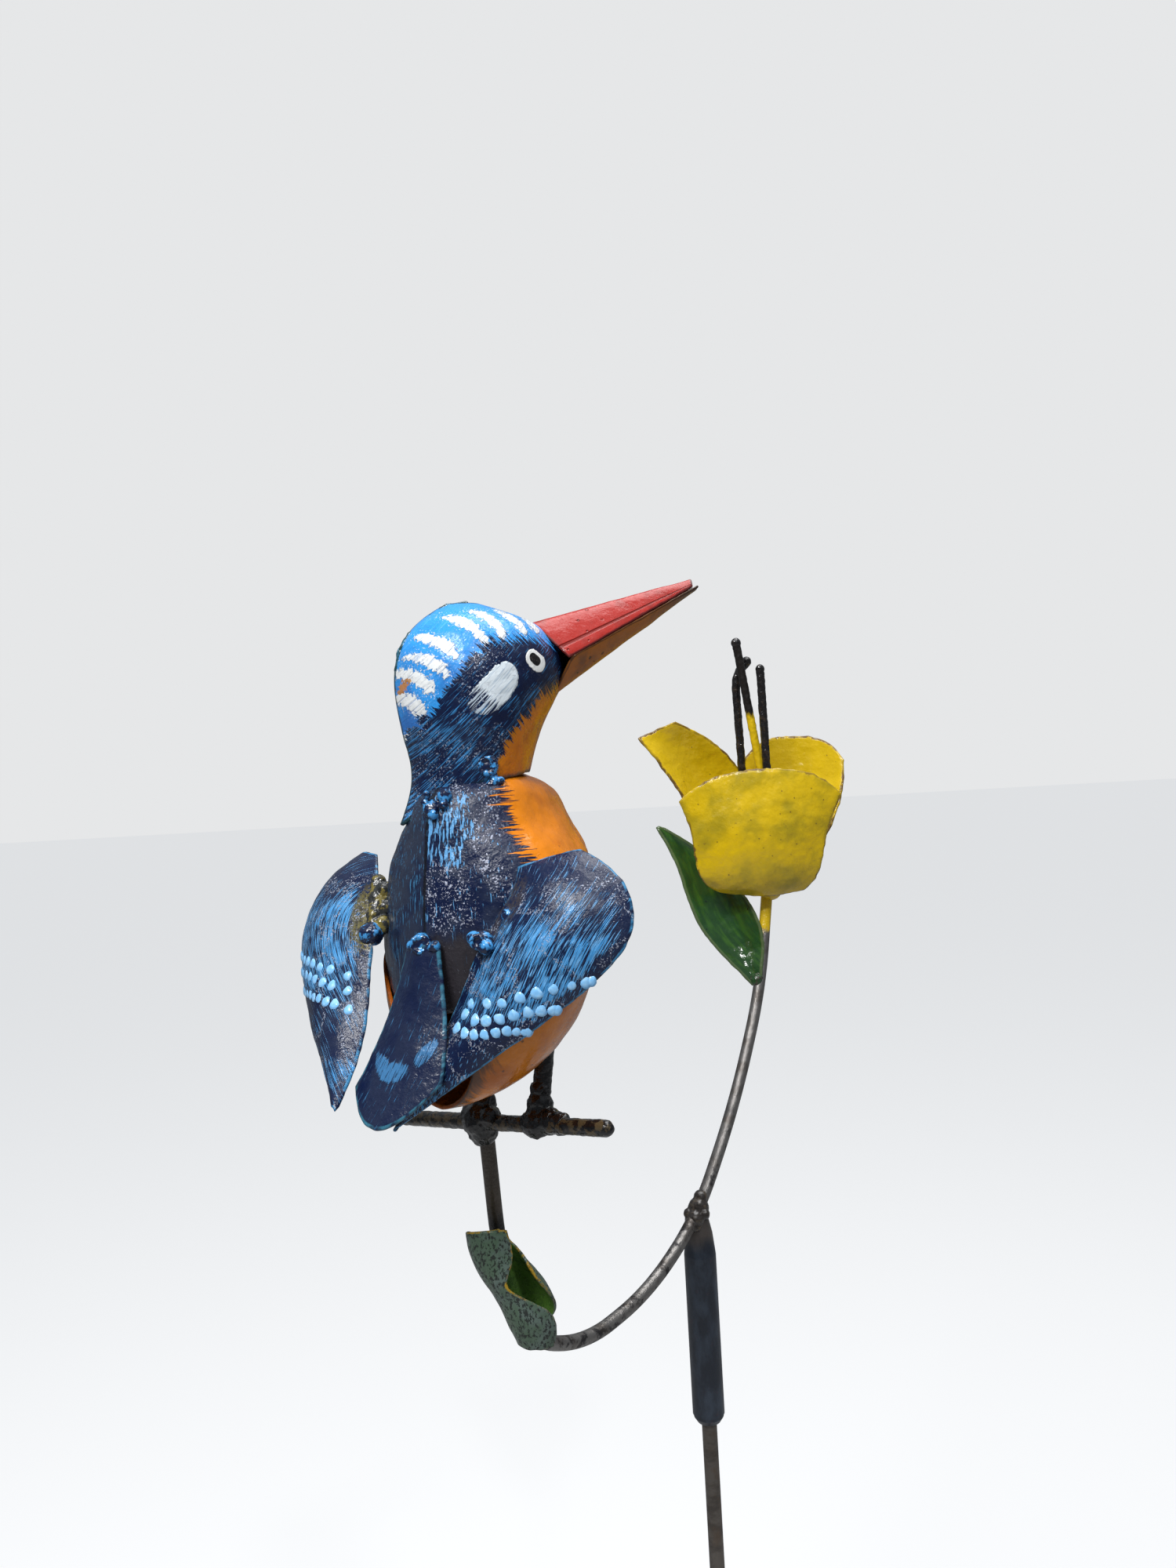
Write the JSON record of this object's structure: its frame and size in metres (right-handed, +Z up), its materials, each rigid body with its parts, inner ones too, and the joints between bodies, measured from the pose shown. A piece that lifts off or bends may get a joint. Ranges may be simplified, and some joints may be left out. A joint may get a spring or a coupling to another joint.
{
  "type": "bird garden stake",
  "caption": "Garden stake with a painted metal kingfisher on a perch and a metal flower, turning on a ground rod.",
  "frame": {"origin": "centre of the ground rod's square-cut lower end", "axes": "+Z up along the ground rod; +X to the side where the flower leans; the flat of the bent arm stands 52 degrees round from -X towards -Y"},
  "size_m": [0.214, 0.2398, 0.7626],
  "materials": {
    "stake_steel": "weathered bare mild steel",
    "tube_steel": "blue-black mill scale, satin",
    "bare_steel": "bare steel with oxide bands",
    "burnt_steel": "weld-burnt steel under clear varnish",
    "black_enamel": "gloss black enamel",
    "navy_paint": "gloss navy enamel with light blue brush strokes",
    "blue_paint": "gloss sky blue enamel with white strokes and a navy mask",
    "orange_paint": "gloss orange enamel",
    "amber_paint": "gloss amber enamel, darker at the tip",
    "red_paint": "gloss red enamel with small pits",
    "yellow_paint": "gloss yellow enamel with rust specks",
    "green_paint": "gloss dark green enamel",
    "leaf_grey": "thin green paint over speckled bare steel"
  },
  "bodies": {
    "ground_stake": {"ground_rod": "stake_steel"},
    "guide_ring": {"mouth_ring": "tube_steel"},
    "figure": {"socket_tube": "tube_steel", "arm_rod": "bare_steel", "arm_weld": "burnt_steel", "perch_rod": "burnt_steel", "right_leg": "black_enamel", "left_leg": "black_enamel", "right_foot": "black_enamel", "left_foot": "black_enamel", "body_left_half": "navy_paint", "body_right_half": "navy_paint", "belly_left_half": "orange_paint", "belly_right_half": "orange_paint", "head_left_half": "blue_paint", "head_right_half": "blue_paint", "upper_beak": "red_paint", "lower_beak": "amber_paint", "left_wing": "navy_paint", "right_wing": "navy_paint", "tail": "navy_paint", "left_wing_weld": "navy_paint", "right_wing_weld": "navy_paint", "tail_weld": "navy_paint", "neck_weld_right": "navy_paint", "neck_weld_back": "navy_paint", "neck_weld_left": "navy_paint", "flower_base": "yellow_paint", "front_petal": "yellow_paint", "left_petal": "yellow_paint", "back_petal": "yellow_paint", "long_stamen": "burnt_steel", "short_stamen": "burnt_steel", "hooked_stamen": "burnt_steel", "stamen_tips": "burnt_steel", "upper_leaf": "green_paint", "lower_leaf": "leaf_grey", "upper_leaf_weld": "green_paint", "lower_leaf_weld": "burnt_steel"}
  },
  "joints": [
    {"name": "lift_off", "type": "slide", "parent": "ground_stake", "child": "guide_ring", "axis": [0, 0, 1], "range_m": [0, 0.085]},
    {"name": "turn", "type": "hinge", "parent": "guide_ring", "child": "figure", "pos_m": [0, 0, 0.47], "axis": [0, 0, 1], "continuous": true}
  ]
}
